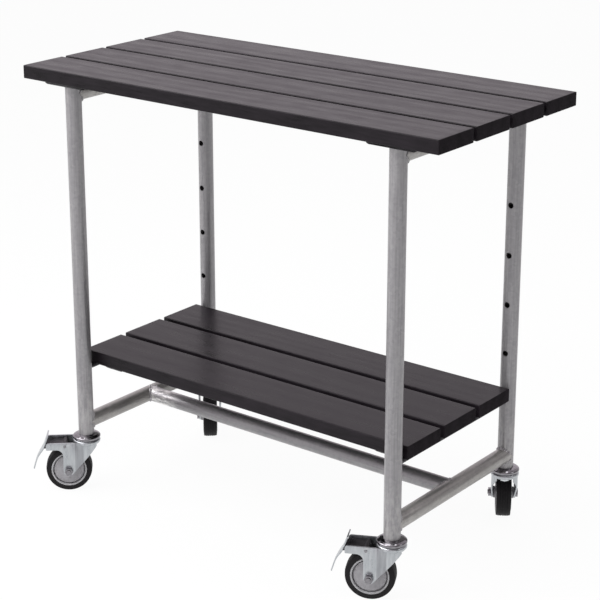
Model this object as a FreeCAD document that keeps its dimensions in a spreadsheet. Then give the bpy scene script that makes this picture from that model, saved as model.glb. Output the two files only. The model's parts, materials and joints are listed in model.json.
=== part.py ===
import FreeCAD, Part
import math
import os

# Potting table: a welded steel tube frame on four swivel castors, a plank worktop
# screwed to the frame, and a plank shelf that rests on two rods plugged into the legs.
# Millimetres. X runs along the worktop, -Y is the front, Z is up, the floor is Z = 0.

os.makedirs("parts", exist_ok=True)
doc = FreeCAD.newDocument("potting_table")
sheet = doc.addObject("Spreadsheet::Sheet", "Sizes")

SIZES = {
    "top_height": 938.0,
    "top_length": 1030.0,
    "plank_width": 118.0,
    "plank_thick": 28.0,
    "plank_round": 2.0,
    "top_gap": 5.0,
    "top_batten_width": 105.0,
    "top_batten_thick": 6.0,
    "top_batten_setback": 10.0,
    "batten_chamfer": 3.0,
    "tube_dia": 33.7,
    "tube_wall": 2.6,
    "leg_x": 406.5,
    "leg_y": 206.3,
    "leg_foot": 130.0,
    "low_axis": 156.5,
    "hole_dia": 12.5,
    "hole_low": 280.5,
    "hole_pitch": 105.0,
    "hole_count": 5,
    "rod_dia": 12.0,
    "rod_length": 405.0,
    "shelf_length": 848.0,
    "shelf_gap": 9.0,
    "shelf_rest_gap": 0.1,
    "shelf_batten_x": 358.0,
    "shelf_batten_width": 46.0,
    "shelf_batten_thick": 12.0,
    "shelf_batten_setback": 20.0,
    "screw_dia": 4.5,
    "screw_head_dia": 9.0,
    "screw_bite": 14.0,
    "coach_dia": 6.0,
    "coach_bite": 14.0,
    "coach_head_across": 10.0,
    "coach_head_thick": 4.0,
    "wheel_dia": 100.0,
    "tyre_width": 32.0,
    "tyre_depth": 12.0,
    "trail": 40.0,
    "axle_dia": 10.0,
    "running_gap": 0.05,
    "fork_inside": 44.0,
    "fork_sheet": 3.0,
    "fork_top": 116.0,
    "stem_dia": 10.0,
    "stem_top": 172.0,
    "insert_top": 176.0,
    "hub_dia": 22.0,
    "hub_bottom": 106.0,
    "pin_dia": 6.0,
    "pin_u": 47.0,
    "pin_z": 108.0,
    "head_dia": 60.0,
    "head_bottom": 118.6,
    "head_lower_round": 4.0,
    "head_rim_z": 125.4,
    "head_rim_round": 3.0,
    "head_dome_dia": 49.0,
    "head_dome_z": 128.6,
    "head_dome_round": 6.0,
    "head_neck_dia": 36.0,
    "crown_dia": 59.0,
    "crown_bottom": 109.0,
    "crown_top": 118.3,
    "crown_round": 4.0,
    "nose_dia": 55.0,
    "mouth_width": 34.0,
    "crease_u": 25.6,
    "flare_u": 6.5,
    "fork_slope": 49.7,
    "foot_r": 11.5,
    "arm_end": 88.0,
    "arm_bottom": 100.0,
    "arm_round": 6.0,
    "arm_root_round": 14.0,
    "shoulder_u": 30.0,
    "shoulder_z": 86.0,
    "shoulder_round": 12.0,
    "core_hub_dia": 25.0,
    "core_hub_width": 43.4,
    "core_disc_width": 26.0,
    "core_web_width": 14.0,
    "rim_depth": 3.0,
    "groove_width": 2.5,
    "wheel_edge_round": 1.0,
    "tread_round": 2.0,
    "pedal_sheet": 2.5,
    "pedal_width": 34.0,
    "pedal_tip_width": 16.0,
    "pedal_tip_u": 119.0,
}

for row, (alias, value) in enumerate(SIZES.items(), start=1):
    sheet.set(f"A{row}", alias)
    sheet.set(f"B{row}", str(value))
    sheet.setAlias(f"B{row}", alias)
doc.recompute()

# Half the length of a drill or blank that passes right across a castor.
ACROSS = 40.0

ORIGIN = FreeCAD.Vector(0, 0, 0)
AXIS_X = FreeCAD.Vector(1, 0, 0)
AXIS_Y = FreeCAD.Vector(0, 1, 0)
AXIS_Z = FreeCAD.Vector(0, 0, 1)
FULL_TURN = 360.0
FLAT = FreeCAD.Rotation()
UPRIGHT = FreeCAD.Rotation(AXIS_X, 90.0)
TINY = 1e-6
HEX_SIDES = 6
HEX_CORNER = 1.0 / math.cos(math.pi / HEX_SIDES)

nodes = {}


def val(alias):
    return SIZES[alias]


def give(obj, prop, amount):
    """Set a size from a number, or bind it when it is a formula on the sheet."""
    if isinstance(amount, str):
        obj.setExpression(prop, amount)
    else:
        setattr(obj, prop, amount)


def along(axis):
    return FreeCAD.Rotation(AXIS_Z, axis)


def box(name, length, width, height, corner):
    obj = doc.addObject("Part::Box", name)
    give(obj, "Length", length)
    give(obj, "Width", width)
    give(obj, "Height", height)
    obj.Placement.Base = FreeCAD.Vector(*corner)
    return obj


def cylinder(name, radius, height, start, axis=AXIS_Z):
    obj = doc.addObject("Part::Cylinder", name)
    give(obj, "Radius", radius)
    give(obj, "Height", height)
    obj.Placement = FreeCAD.Placement(FreeCAD.Vector(*start), along(axis))
    return obj


def cone(name, radius_start, radius_end, height, start, axis=AXIS_Z):
    obj = doc.addObject("Part::Cone", name)
    give(obj, "Radius1", radius_start)
    give(obj, "Radius2", radius_end)
    give(obj, "Height", height)
    obj.Placement = FreeCAD.Placement(FreeCAD.Vector(*start), along(axis))
    return obj


def hexagon(name, across, height, start, axis=AXIS_Z):
    obj = doc.addObject("Part::Prism", name)
    obj.Polygon = HEX_SIDES
    obj.Circumradius = across / 2.0 * HEX_CORNER
    obj.Height = height
    obj.Placement = FreeCAD.Placement(FreeCAD.Vector(*start), along(axis))
    return obj


def cut(name, base, tool):
    obj = doc.addObject("Part::Cut", name)
    obj.Base = base
    obj.Tool = tool
    return obj


def common(name, first, second):
    obj = doc.addObject("Part::Common", name)
    obj.Base = first
    obj.Tool = second
    return obj


def fuse(name, pieces):
    obj = doc.addObject("Part::MultiFuse", name)
    obj.Shapes = pieces
    obj.Refine = True
    return obj


def group(name, pieces):
    obj = doc.addObject("Part::Compound", name)
    obj.Links = pieces
    return obj


def corner_arc(before, corner, after, radius):
    """The arc that rounds a corner, as its start, middle and end."""
    back = (before - corner).normalize()
    onward = (after - corner).normalize()
    inward = (back + onward).normalize()
    half = back.getAngle(onward) / 2.0
    run = radius / math.tan(half)
    middle = corner + inward * (radius / math.sin(half) - radius)
    return corner + back * run, middle, corner + onward * run


def outline(name, corners, turn):
    """A closed sketch through corners (a, b), each with a radius after it where it is rounded."""
    sketch = doc.addObject("Sketcher::SketchObject", name)
    points = [FreeCAD.Vector(corner[0], corner[1], 0) for corner in corners]
    bends = []
    for i, corner in enumerate(corners):
        radius = corner[2:]
        if radius:
            after = points[(i + 1) % len(points)]
            bends.append(corner_arc(points[i - 1], points[i], after, radius[0]))
        else:
            bends.append((points[i], points[i], points[i]))
    for i, (start, middle, end) in enumerate(bends):
        if start != end:
            sketch.addGeometry(Part.Arc(start, middle, end))
        following = bends[(i + 1) % len(bends)][0]
        if end.distanceToPoint(following) > TINY:
            sketch.addGeometry(Part.LineSegment(end, following))
    sketch.Placement.Rotation = turn
    return sketch


def turned(name, corners, axis, turn):
    """A closed half-section turned about an axis through the origin."""
    obj = doc.addObject("Part::Revolution", name)
    obj.Source = outline(name + "_section", corners, turn)
    obj.Axis = axis
    obj.Base = ORIGIN
    obj.Angle = FULL_TURN
    obj.Solid = True
    return obj


def pressed(name, corners, width):
    """A side outline in the castor's u-z plane, given its width evenly across v."""
    obj = doc.addObject("Part::Extrusion", name)
    obj.Base = outline(name + "_outline", corners, UPRIGHT)
    obj.DirMode = "Custom"
    obj.Dir = AXIS_Y
    obj.LengthFwd = width / 2.0
    obj.LengthRev = width / 2.0
    obj.Solid = True
    return obj


def raised(name, corners, height):
    """A plan outline in the castor's u-v plane, raised straight up from the floor."""
    obj = doc.addObject("Part::Extrusion", name)
    obj.Base = outline(name + "_plan", corners, FLAT)
    obj.DirMode = "Custom"
    obj.Dir = AXIS_Z
    obj.LengthFwd = height
    obj.Solid = True
    return obj


def edges_where(obj, wanted):
    doc.recompute()
    return [i for i, edge in enumerate(obj.Shape.Edges, start=1) if wanted(edge)]


def rounded(name, base, radius):
    doc.recompute()
    obj = doc.addObject("Part::Fillet", name)
    obj.Base = base
    obj.Edges = [(i, radius, radius) for i in range(1, len(base.Shape.Edges) + 1)]
    return obj


def chamfered_below(name, base, bottom, amount):
    found = edges_where(base, lambda edge: abs(edge.BoundBox.ZMax - bottom) < TINY)
    obj = doc.addObject("Part::Chamfer", name)
    obj.Base = base
    obj.Edges = [(i, amount, amount) for i in found]
    return obj


def keep(name, obj):
    obj.Label = name
    nodes[name] = obj
    return obj


TUBE_R = val("tube_dia") / 2.0
PLANK_BOTTOM = val("top_height") - val("plank_thick")
LEG_TOP = PLANK_BOTTOM - val("top_batten_thick")
TOP_AXIS = LEG_TOP - TUBE_R
TOP_PITCH = val("plank_width") + val("top_gap")
TOP_PLANKS = 4
TOP_DEPTH = TOP_PLANKS * val("plank_width") + (TOP_PLANKS - 1) * val("top_gap")
SHELF_PITCH = val("plank_width") + val("shelf_gap")
SHELF_PLANKS = 3
SHELF_DEPTH = SHELF_PLANKS * val("plank_width") + (SHELF_PLANKS - 1) * val("shelf_gap")
SHELF_BOTTOM = val("hole_low") + val("rod_dia") / 2.0 + val("shelf_rest_gap")

SIDES = {"left": -1, "right": 1}
ENDS = {"front": -1, "rear": 1}


def tube(name, length, start, axis):
    outer = cylinder(name + "_outside", "Sizes.tube_dia / 2", length, start, axis)
    inner = cylinder(
        name + "_inside", "Sizes.tube_dia / 2 - Sizes.tube_wall", length, start, axis
    )
    return cut(name + "_tube", outer, inner)


def leg(end, side):
    """One upright with a row of shelf-rod holes through its inward wall."""
    name = f"{end}_{side}_leg"
    x = SIDES[side] * val("leg_x")
    y = ENDS[end] * val("leg_y")
    inward = FreeCAD.Vector(0, -ENDS[end], 0)
    length = LEG_TOP - val("leg_foot")
    body = tube(name, length, (x, y, val("leg_foot")), AXIS_Z)
    holes = []
    for level in range(int(val("hole_count"))):
        z = val("hole_low") + level * val("hole_pitch")
        drill = cylinder(
            f"{name}_hole_{level + 1}", "Sizes.hole_dia / 2", "Sizes.tube_dia", (x, y, z), inward
        )
        holes.append(drill)
    keep(name, cut(name, body, group(name + "_holes", holes)))


def leg_space(name, side):
    """The two solid cylinders that the ends of a cross tube are coped to."""
    x = SIDES[side] * val("leg_x")
    posts = []
    for end in ENDS:
        start = (x, ENDS[end] * val("leg_y"), val("leg_foot"))
        posts.append(
            cylinder(f"{name}_{end}_post", "Sizes.tube_dia / 2", LEG_TOP - val("leg_foot"), start)
        )
    return group(name + "_posts", posts)


def cross_tube(name, side, z):
    start = (SIDES[side] * val("leg_x"), -val("leg_y"), z)
    body = tube(name, "2 * Sizes.leg_y", start, AXIS_Y)
    return cut(name + "_coped", body, leg_space(name, side))


for end_name in ENDS:
    for side_name in SIDES:
        leg(end_name, side_name)

COACH_Y = (-TOP_PITCH / 2.0, TOP_PITCH / 2.0)
# The flat head beds a little into the round of the tube.
COACH_SEAT = TOP_AXIS - TUBE_R + 0.8


def coach_screw(name, x, y):
    """Hexagon-headed screw driven up through the top cross tube into an inner plank."""
    tip = PLANK_BOTTOM + val("coach_bite")
    point = 4.0
    shank_length = tip - point - COACH_SEAT
    head_z = COACH_SEAT - val("coach_head_thick")
    head = hexagon(name + "_head", val("coach_head_across"), val("coach_head_thick"), (x, y, head_z))
    shank = cylinder(name + "_shank", "Sizes.coach_dia / 2", shank_length, (x, y, COACH_SEAT))
    end = cone(name + "_point", "Sizes.coach_dia / 2", 0.0, point, (x, y, tip - point))
    return fuse(name, [head, shank, end])


def wood_screw(name, x, y, seat, length):
    """Countersunk screw driven straight up from the underside of a batten."""
    head_height = (val("screw_head_dia") - val("screw_dia")) / 2.0
    point = 4.0
    head = cone(
        name + "_head", "Sizes.screw_head_dia / 2", "Sizes.screw_dia / 2", head_height, (x, y, seat)
    )
    shank = cylinder(
        name + "_shank",
        "Sizes.screw_dia / 2",
        length - head_height - point,
        (x, y, seat + head_height),
    )
    end = cone(name + "_point", "Sizes.screw_dia / 2", 0.0, point, (x, y, seat + length - point))
    return fuse(name, [head, shank, end])


coach_screws = []
for side_name, sign in SIDES.items():
    for index, y in enumerate(COACH_Y, start=1):
        coach_screws.append(
            coach_screw(f"{side_name}_coach_{index}", sign * val("leg_x"), y)
        )
coach_group = keep("worktop_frame_screws", group("worktop_frame_screws", coach_screws))

for side_name in SIDES:
    upper = cross_tube(f"{side_name}_top_cross_tube", side_name, TOP_AXIS)
    keep(
        f"{side_name}_top_cross_tube",
        cut(f"{side_name}_top_cross_tube", upper, coach_group),
    )
    lower = cross_tube(f"{side_name}_lower_cross_tube", side_name, val("low_axis"))
    keep(f"{side_name}_lower_cross_tube", lower)

stretcher = tube(
    "lower_stretcher", "2 * Sizes.leg_x", (-val("leg_x"), 0.0, val("low_axis")), AXIS_X
)
stretcher_ends = []
for side_name, sign in SIDES.items():
    start = (sign * val("leg_x"), -val("leg_y"), val("low_axis"))
    stretcher_ends.append(
        cylinder(
            f"stretcher_{side_name}_end", "Sizes.tube_dia / 2", "2 * Sizes.leg_y", start, AXIS_Y
        )
    )
keep(
    "lower_stretcher",
    cut("lower_stretcher", stretcher, group("stretcher_ends", stretcher_ends)),
)

SCREW_SPREAD_Y = 32.0
TOP_SCREW_SPREAD_X = 36.0

top_screws = []
for side_name, sign in SIDES.items():
    for index in range(TOP_PLANKS):
        middle = (index - (TOP_PLANKS - 1) / 2.0) * TOP_PITCH
        for turn in (-1, 1):
            top_screws.append(
                wood_screw(
                    f"{side_name}_top_screw_{index + 1}_{turn + 2}",
                    sign * val("leg_x") + turn * TOP_SCREW_SPREAD_X,
                    middle + turn * SCREW_SPREAD_Y,
                    LEG_TOP,
                    val("top_batten_thick") + val("screw_bite"),
                )
            )
top_screw_group = keep("worktop_batten_screws", group("worktop_batten_screws", top_screws))
top_fixings = group("worktop_fixings", [coach_group, top_screw_group])

for index in range(TOP_PLANKS):
    middle = (index - (TOP_PLANKS - 1) / 2.0) * TOP_PITCH
    corner = (-val("top_length") / 2.0, middle - val("plank_width") / 2.0, PLANK_BOTTOM)
    name = f"worktop_plank_{index + 1}"
    raw = box(
        name + "_board", "Sizes.top_length", "Sizes.plank_width", "Sizes.plank_thick", corner
    )
    eased = rounded(name + "_eased", raw, val("plank_round"))
    keep(name, cut(name, eased, top_fixings))

for side_name, sign in SIDES.items():
    name = f"{side_name}_worktop_batten"
    front = -TOP_DEPTH / 2.0 + val("top_batten_setback")
    corner = (sign * val("leg_x") - val("top_batten_width") / 2.0, front, LEG_TOP)
    raw = box(
        name + "_strip", "Sizes.top_batten_width", -2.0 * front, "Sizes.top_batten_thick", corner
    )
    eased = chamfered_below(name + "_eased", raw, LEG_TOP, val("batten_chamfer"))
    keep(name, cut(name, eased, top_fixings))

SHELF_SCREW_SPREAD_X = 10.0
SHELF_BATTEN_BOTTOM = SHELF_BOTTOM - val("shelf_batten_thick")

shelf_screws = []
for side_name, sign in SIDES.items():
    for index in range(SHELF_PLANKS):
        middle = (index - (SHELF_PLANKS - 1) / 2.0) * SHELF_PITCH
        for turn in (-1, 1):
            shelf_screws.append(
                wood_screw(
                    f"{side_name}_shelf_screw_{index + 1}_{turn + 2}",
                    sign * val("shelf_batten_x") + turn * SHELF_SCREW_SPREAD_X,
                    middle + turn * SCREW_SPREAD_Y,
                    SHELF_BATTEN_BOTTOM,
                    val("shelf_batten_thick") + val("screw_bite"),
                )
            )
shelf_screw_group = keep("shelf_screws", group("shelf_screws", shelf_screws))

for index in range(SHELF_PLANKS):
    middle = (index - (SHELF_PLANKS - 1) / 2.0) * SHELF_PITCH
    corner = (-val("shelf_length") / 2.0, middle - val("plank_width") / 2.0, SHELF_BOTTOM)
    name = f"shelf_plank_{index + 1}"
    raw = box(
        name + "_board", "Sizes.shelf_length", "Sizes.plank_width", "Sizes.plank_thick", corner
    )
    eased = rounded(name + "_eased", raw, val("plank_round"))
    keep(name, cut(name, eased, shelf_screw_group))

for side_name, sign in SIDES.items():
    name = f"{side_name}_shelf_batten"
    front = -SHELF_DEPTH / 2.0 + val("shelf_batten_setback")
    corner = (
        sign * val("shelf_batten_x") - val("shelf_batten_width") / 2.0,
        front,
        SHELF_BATTEN_BOTTOM,
    )
    raw = box(
        name + "_strip", "Sizes.shelf_batten_width", -2.0 * front, "Sizes.shelf_batten_thick", corner
    )
    eased = chamfered_below(name + "_eased", raw, SHELF_BATTEN_BOTTOM, val("batten_chamfer"))
    keep(name, cut(name, eased, shelf_screw_group))

    rod_name = f"{side_name}_shelf_rod"
    rod_start = (sign * val("leg_x"), -val("rod_length") / 2.0, val("hole_low"))
    keep(
        rod_name,
        cylinder(rod_name, "Sizes.rod_dia / 2", "Sizes.rod_length", rod_start, AXIS_Y),
    )

# Castors. Each is drawn with its swivel axis on Z, its trail along u = local X and its
# axle across v = local Y, then turned to its own trail direction under its leg.

TRAIL_ANGLE = {
    "front_left": 222.0,
    "front_right": 207.0,
    "rear_left": 311.0,
    "rear_right": 123.0,
}

WHEEL_R = val("wheel_dia") / 2.0
CORE_R = WHEEL_R - val("tyre_depth")
HALF_TYRE = val("tyre_width") / 2.0
AXLE_R = val("axle_dia") / 2.0
AXLE_BORE_R = AXLE_R + val("running_gap")
HALF_FORK = val("fork_inside") / 2.0
FORK_OUT = HALF_FORK + val("fork_sheet")
STEM_R = val("stem_dia") / 2.0
HUB_R = val("hub_dia") / 2.0
HUB_BORE_R = HUB_R + val("running_gap")
PIN_R = val("pin_dia") / 2.0

HEAD_R = val("head_dia") / 2.0
HEAD_SECTION = (
    (STEM_R, val("hub_bottom")),
    (HUB_R, val("hub_bottom")),
    (HUB_R, val("head_bottom")),
    (HEAD_R, val("head_bottom"), val("head_lower_round")),
    (HEAD_R, val("head_rim_z"), val("head_rim_round")),
    (val("head_dome_dia") / 2.0, val("head_dome_z"), val("head_dome_round")),
    (val("head_neck_dia") / 2.0, val("leg_foot")),
    (STEM_R, val("leg_foot")),
)

CROWN_R = val("crown_dia") / 2.0
NOSE_R = val("nose_dia") / 2.0
CROWN_SECTION = (
    (HUB_BORE_R, val("crown_bottom")),
    (CROWN_R, val("crown_bottom"), val("crown_round")),
    (CROWN_R, val("crown_top"), val("crown_round")),
    (HUB_BORE_R, val("crown_top")),
)

# The fork's blank reaches past the end of the brake arms.
FORK_REACH = 100.0

# The fork's side runs down a slope from the nose to a foot rounded about the axle.
SLOPE = math.radians(val("fork_slope"))
FOOT_R = val("foot_r")
FOOT_Z = WHEEL_R - FOOT_R
FOOT_FRONT = val("trail") + FOOT_R
HEEL_U = val("trail") - FOOT_R * math.tan(SLOPE / 2.0)
NOSE_U = -NOSE_R
NOSE_Z = FOOT_Z + (HEEL_U - NOSE_U) * math.tan(SLOPE)
FORK_FOOT = (
    (FOOT_FRONT, FOOT_Z, FOOT_R),
    (HEEL_U, FOOT_Z, FOOT_R),
    (NOSE_U, NOSE_Z),
    (NOSE_U, val("fork_top")),
)

BRAKED_FORK_SIDE = (
    (val("arm_end"), val("fork_top"), val("arm_round")),
    (val("arm_end"), val("arm_bottom"), val("arm_round") / 3.0),
    (FOOT_FRONT, val("arm_bottom"), val("arm_root_round")),
) + FORK_FOOT

PLAIN_FORK_SIDE = (
    (val("shoulder_u"), val("fork_top"), val("shoulder_round")),
    (FOOT_FRONT, val("shoulder_z"), 2.0 * val("shoulder_round")),
) + FORK_FOOT


def mirrored(half):
    """Half an outline on one side of the wheel's middle plane, and its mirror image."""
    return half + tuple((a, -v, *radius) for a, v, *radius in reversed(half))


def fork_plan(half_width, nose_r):
    """Flat cheeks that flare out from a pressed crease to a round nose under the swivel head."""
    return mirrored(
        (
            (FORK_REACH, -half_width),
            (val("crease_u"), -half_width),
            (val("flare_u"), -nose_r),
            (-nose_r, -nose_r, nose_r),
        )
    )


HALF_HUB = val("core_hub_width") / 2.0
HALF_DISC = val("core_disc_width") / 2.0
HALF_WEB = val("core_web_width") / 2.0
CORE_HUB_R = val("core_hub_dia") / 2.0
RIM_R = CORE_R - val("rim_depth")
DISC_R = RIM_R - val("groove_width")
EDGE_ROUND = val("wheel_edge_round")
CORE_SECTION = mirrored(
    (
        (AXLE_BORE_R, -HALF_HUB),
        (CORE_HUB_R, -HALF_HUB, EDGE_ROUND),
        (CORE_HUB_R, -HALF_DISC, EDGE_ROUND),
        (DISC_R, -HALF_DISC, EDGE_ROUND),
        (DISC_R, -HALF_WEB),
        (RIM_R, -HALF_WEB),
        (RIM_R, -HALF_TYRE, EDGE_ROUND),
        (CORE_R, -HALF_TYRE),
    )
)

TYRE_SECTION = mirrored(
    (
        (CORE_R, -HALF_TYRE, EDGE_ROUND),
        (WHEEL_R, -HALF_TYRE, val("tread_round")),
    )
)

# The pedal is one bent plate: an upright tab, then a tail that curls down behind the wheel.
# A web ties it to the pin, with a pad below that presses on the tyre.
PEDAL_LINE = (
    (82.5, 130.0),
    (93.0, 100.0, 25.0),
    (107.0, 78.0, 80.0),
    (115.5, 50.0),
)
WEB_ABOVE_PIN = 2.0
WEB_BELOW_PIN = 3.6
PEDAL_WEB = (
    (val("pin_u"), val("pin_z") + WEB_ABOVE_PIN),
    (val("pin_u"), val("pin_z") - WEB_BELOW_PIN),
    (93.0, 103.0),
    (91.0, 108.8),
)
PEDAL_PAD = (
    (56.0, 106.0),
    (56.0, 100.9),
    (66.0, 99.6),
    (69.0, 106.0),
)
# Seen from above, the plate narrows to a rounded tongue.
TONGUE_PLAN = mirrored(
    (
        (val("pin_u"), -val("pedal_width") / 2.0),
        (95.0, -val("pedal_width") / 2.0, 10.0),
        (109.0, -val("pedal_tip_width") / 2.0, 10.0),
        (val("pedal_tip_u"), -val("pedal_tip_width") / 2.0, 5.0),
    )
)


def band(line, thick):
    """The closed outline of a bent strip of sheet whose inner face follows a line of corners."""
    points = [FreeCAD.Vector(corner[0], corner[1], 0) for corner in line]
    runs = [(b - a).normalize() for a, b in zip(points, points[1:])]
    outer = []
    for i, (u, z, *radius) in enumerate(line):
        before = runs[max(i - 1, 0)]
        after = runs[min(i, len(runs) - 1)]
        reach = thick / (1.0 + before.dot(after))
        turns_in = math.copysign(1.0, before.cross(after).z)
        grown = [bend - turns_in * thick for bend in radius]
        outer.append((u - (before.y + after.y) * reach, z + (before.x + after.x) * reach, *grown))
    return line + tuple(reversed(outer))


class Castor:
    """One swivel castor under a leg; the front pair also carries a foot brake."""

    def __init__(self, end, side):
        self.name = f"{end}_{side}"
        self.braked = end == "front"
        spot = FreeCAD.Vector(SIDES[side] * val("leg_x"), ENDS[end] * val("leg_y"), 0)
        self.place = FreeCAD.Placement(spot, FreeCAD.Rotation(AXIS_Z, TRAIL_ANGLE[self.name]))

    def put(self, part, obj, u=0.0, z=0.0):
        """Place a finished piece at a point of the castor and keep it as a node."""
        self.move(obj, u, z)
        keep(f"{self.name}_{part}", obj)

    def move(self, obj, u=0.0, z=0.0):
        """Carry a piece from the drawing position to its castor, shifted by u and z."""
        shift = FreeCAD.Placement(FreeCAD.Vector(u, 0, z), FreeCAD.Rotation())
        obj.Placement = self.place.multiply(shift).multiply(obj.Placement)
        return obj

    def insert(self):
        name = f"{self.name}_insert"
        height = val("insert_top") - val("leg_foot")
        start = (0.0, 0.0, val("leg_foot"))
        body = cylinder(
            name + "_body", "Sizes.tube_dia / 2 - Sizes.tube_wall", height, start
        )
        bore = cylinder(name + "_bore", "Sizes.stem_dia / 2", height, start)
        return self.move(cut(name, body, bore))

    def stem_bolt(self):
        name = f"{self.name}_stem"
        head_thick = 6.4
        flange_thick = 2.0
        flange_r = 15.0
        head_across = 17.0
        seat = val("hub_bottom")
        flange = cylinder(name + "_flange", flange_r, flange_thick, (0, 0, seat - flange_thick))
        head = hexagon(
            name + "_head", head_across, head_thick, (0, 0, seat - flange_thick - head_thick)
        )
        shank = cylinder(name + "_shank", "Sizes.stem_dia / 2", val("stem_top") - seat, (0, 0, seat))
        return self.move(fuse(name, [flange, head, shank]))

    def head(self):
        head = turned(f"{self.name}_swivel_head", HEAD_SECTION, AXIS_Z, UPRIGHT)
        self.put("swivel_head", head)

    def fork(self):
        name = f"{self.name}_fork"
        side = BRAKED_FORK_SIDE if self.braked else PLAIN_FORK_SIDE
        sheet_thick = val("fork_sheet")
        outer = raised(name + "_outside", fork_plan(FORK_OUT, NOSE_R), val("fork_top"))
        inner = raised(
            name + "_inside", fork_plan(HALF_FORK, NOSE_R - sheet_thick), val("fork_top")
        )
        shell = cut(name + "_channel", outer, inner)
        cheeks = common(name + "_sheet", shell, pressed(name + "_side", side, 2 * ACROSS))
        crown = turned(name + "_crown", CROWN_SECTION, AXIS_Z, UPRIGHT)
        whole = fuse(name + "_whole", [cheeks, crown])
        mouth_corner = (-ACROSS, -val("mouth_width") / 2.0, 0.0)
        drills = [
            cylinder(name + "_hub_hole", HUB_BORE_R, val("leg_foot"), (0, 0, 0)),
            box(name + "_mouth", ACROSS, val("mouth_width"), val("crown_bottom"), mouth_corner),
            cylinder(
                name + "_axle_hole",
                "Sizes.axle_dia / 2",
                2 * ACROSS,
                (val("trail"), -ACROSS, WHEEL_R),
                AXIS_Y,
            ),
        ]
        if self.braked:
            drills.append(
                cylinder(
                    name + "_pin_hole",
                    "Sizes.pin_dia / 2",
                    2 * ACROSS,
                    (val("pin_u"), -ACROSS, val("pin_z")),
                    AXIS_Y,
                )
            )
        self.put("fork", cut(name, whole, group(name + "_drills", drills)))

    def axle(self):
        name = f"{self.name}_axle_bolt"
        head_thick = 5.5
        across = 16.0
        nut_thick = 7.0
        tail = 1.5
        length = 2 * FORK_OUT + nut_thick + tail
        # Drawn about the axle itself: the head bears on one cheek, the nut on the other.
        shank = cylinder(name + "_shank", "Sizes.axle_dia / 2", length, (0, -FORK_OUT, 0), AXIS_Y)
        head = hexagon(name + "_head", across, head_thick, (0, -FORK_OUT - head_thick, 0), AXIS_Y)
        self.put("axle_bolt", fuse(name, [shank, head]), val("trail"), WHEEL_R)
        nut_name = f"{self.name}_axle_nut"
        nut = hexagon(nut_name + "_hex", across, nut_thick, (0, FORK_OUT, 0), AXIS_Y)
        bore = cylinder(
            nut_name + "_bore", "Sizes.axle_dia / 2", nut_thick, (0, FORK_OUT, 0), AXIS_Y
        )
        self.put("axle_nut", cut(nut_name, nut, bore), val("trail"), WHEEL_R)

    def wheel(self):
        core = turned(f"{self.name}_wheel_core", CORE_SECTION, AXIS_Y, FLAT)
        self.put("wheel_core", core, val("trail"), WHEEL_R)
        tyre = turned(f"{self.name}_tyre", TYRE_SECTION, AXIS_Y, FLAT)
        self.put("tyre", tyre, val("trail"), WHEEL_R)

    def brake(self):
        name = f"{self.name}_brake_pedal"
        web_width = 40.0
        pad_width = 24.0
        barrel_r = 5.2
        barrel_start = (val("pin_u"), -web_width / 2, val("pin_z"))
        plate = pressed(name + "_plate", band(PEDAL_LINE, val("pedal_sheet")), val("pedal_width"))
        tongue = raised(name + "_tongue", TONGUE_PLAN, val("stem_top"))
        pieces = [
            cylinder(name + "_barrel", barrel_r, web_width, barrel_start, AXIS_Y),
            pressed(name + "_web", PEDAL_WEB, web_width),
            pressed(name + "_pad", PEDAL_PAD, pad_width),
            common(name + "_tail", plate, tongue),
        ]
        bore = cylinder(
            name + "_bore",
            PIN_R + val("running_gap"),
            2 * ACROSS,
            (val("pin_u"), -ACROSS, val("pin_z")),
            AXIS_Y,
        )
        self.put("brake_pedal", cut(name, fuse(name + "_whole", pieces), bore))

        pin_name = f"{self.name}_pedal_pin"
        stand_out = 0.8
        pin_length = 2 * (FORK_OUT + stand_out)
        start = (val("pin_u"), -pin_length / 2, val("pin_z"))
        self.put("pedal_pin", cylinder(pin_name, "Sizes.pin_dia / 2", pin_length, start, AXIS_Y))

    def build(self):
        self.head()
        self.fork()
        self.axle()
        self.wheel()
        if self.braked:
            self.brake()


inserts = []
stems = []
for end_name in ENDS:
    for side_name in SIDES:
        castor = Castor(end_name, side_name)
        castor.build()
        inserts.append(castor.insert())
        stems.append(castor.stem_bolt())
keep("castor_inserts", group("castor_inserts", inserts))
keep("castor_stem_bolts", group("castor_stem_bolts", stems))

doc.recompute()

faults = []
for obj in doc.Objects:
    if "Invalid" in obj.State or "Error" in obj.State:
        faults.append(f"{obj.Name}: {obj.State}")
for name, obj in nodes.items():
    if obj.Shape.isNull() or not obj.Shape.isValid() or not obj.Shape.Solids:
        faults.append(f"{name}: no valid solid")
if faults:
    raise RuntimeError("; ".join(faults))

for name, obj in nodes.items():
    obj.Shape.exportStep(os.path.join("parts", f"{name}.step"))

print(len(nodes), "nodes written")
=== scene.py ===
import json
import logging
import math
from dataclasses import dataclass
from enum import Enum
from typing import Sequence

import bmesh
import bpy
from mathutils import Matrix, Vector, noise


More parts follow.
